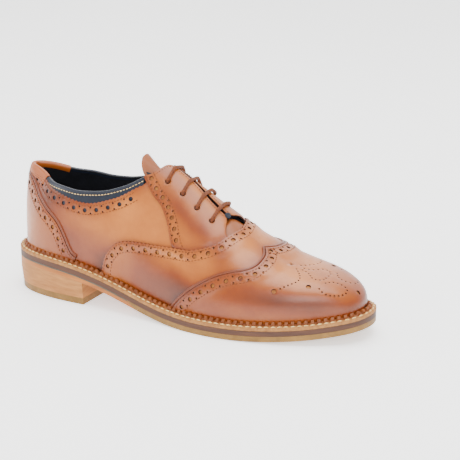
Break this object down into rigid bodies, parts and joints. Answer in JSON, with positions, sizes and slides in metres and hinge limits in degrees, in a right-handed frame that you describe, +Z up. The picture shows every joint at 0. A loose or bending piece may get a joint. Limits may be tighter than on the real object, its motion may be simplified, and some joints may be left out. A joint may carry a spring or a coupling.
{
  "type": "leather oxford shoe",
  "caption": "Men's right wingtip oxford in burnished tan leather with punched borders, navy collar, straight-bar lace, welted sole and stacked heel.",
  "frame": {"origin": "on the ground under the middle of the shoe's bounding box", "axes": "+X towards the toe, +Y towards the inner (medial) side, +Z up"},
  "size_m": [0.3105, 0.1056, 0.1179],
  "materials": {
    "tan_leather": "burnished full-grain calf, semi-gloss",
    "tan_edge": "dark dyed edge bead",
    "navy_leather": "soft matte nappa",
    "lining_leather": "matte lining leather",
    "stiffener_board": "leatherboard",
    "insole_leather": "vegetable tanned",
    "cork": "granulated cork",
    "spring_steel": "spring steel strip",
    "welt_leather": "natural welt leather",
    "thread": "waxed linen thread",
    "navy_thread": "waxed thread",
    "midsole_leather": "stained edge",
    "slip_board": "thin slip sole",
    "outsole_leather": "natural leather",
    "amber_rubber": "crepe-coloured rubber",
    "heel_leather": "stacked leather",
    "steel_nails": "plain steel",
    "eyelet_brass": "antique brass",
    "lace_cotton": "waxed round cotton",
    "aglet_plastic": "film aglet"
  },
  "bodies": {
    "shoe": {"wing_cap": "tan_leather", "wing_piping": "tan_edge", "vamp": "tan_leather", "vamp_lining": "lining_leather", "toe_puff": "stiffener_board", "counter_cover": "tan_leather", "counter_piping": "tan_edge", "heel_stiffener": "stiffener_board", "heel_tab": "tan_leather", "throat_tack": "navy_thread", "eyelets": "eyelet_brass", "insole": "insole_leather", "sock_liner": "lining_leather", "insole_rib": "insole_leather", "shank": "spring_steel", "cork_filler": "cork", "welt": "welt_leather", "storm_rib": "welt_leather", "welt_stitching": "thread", "midsole": "midsole_leather", "slip_sole": "slip_board", "outsole": "outsole_leather", "forefoot_sole": "amber_rubber", "heel_top_piece": "amber_rubber", "heel_nails": "steel_nails", "lace": "lace_cotton", "lace_aglets": "aglet_plastic", "quarter_outer": "tan_leather", "quarter_lining_outer": "lining_leather", "eyelet_stay_outer": "stiffener_board", "facing_outer": "tan_leather", "collar_outer": "navy_leather", "quarter_inner": "tan_leather", "quarter_lining_inner": "lining_leather", "eyelet_stay_inner": "stiffener_board", "facing_inner": "tan_leather", "collar_inner": "navy_leather", "heel_lift_1": "heel_leather", "heel_lift_2": "heel_leather", "heel_lift_3": "heel_leather", "heel_lift_4": "heel_leather"},
    "tongue": {"tongue": "tan_leather", "tongue_lining": "lining_leather"}
  },
  "joints": [
    {"name": "tongue_flex", "type": "hinge", "parent": "shoe", "child": "tongue", "pos_m": [0.04763, -0.00301, 0.0652], "axis": [0, -1, 0], "range_deg": [0, 12], "stiffness_Nm_per_rad": 0.6, "springref_deg": -6.88}
  ]
}
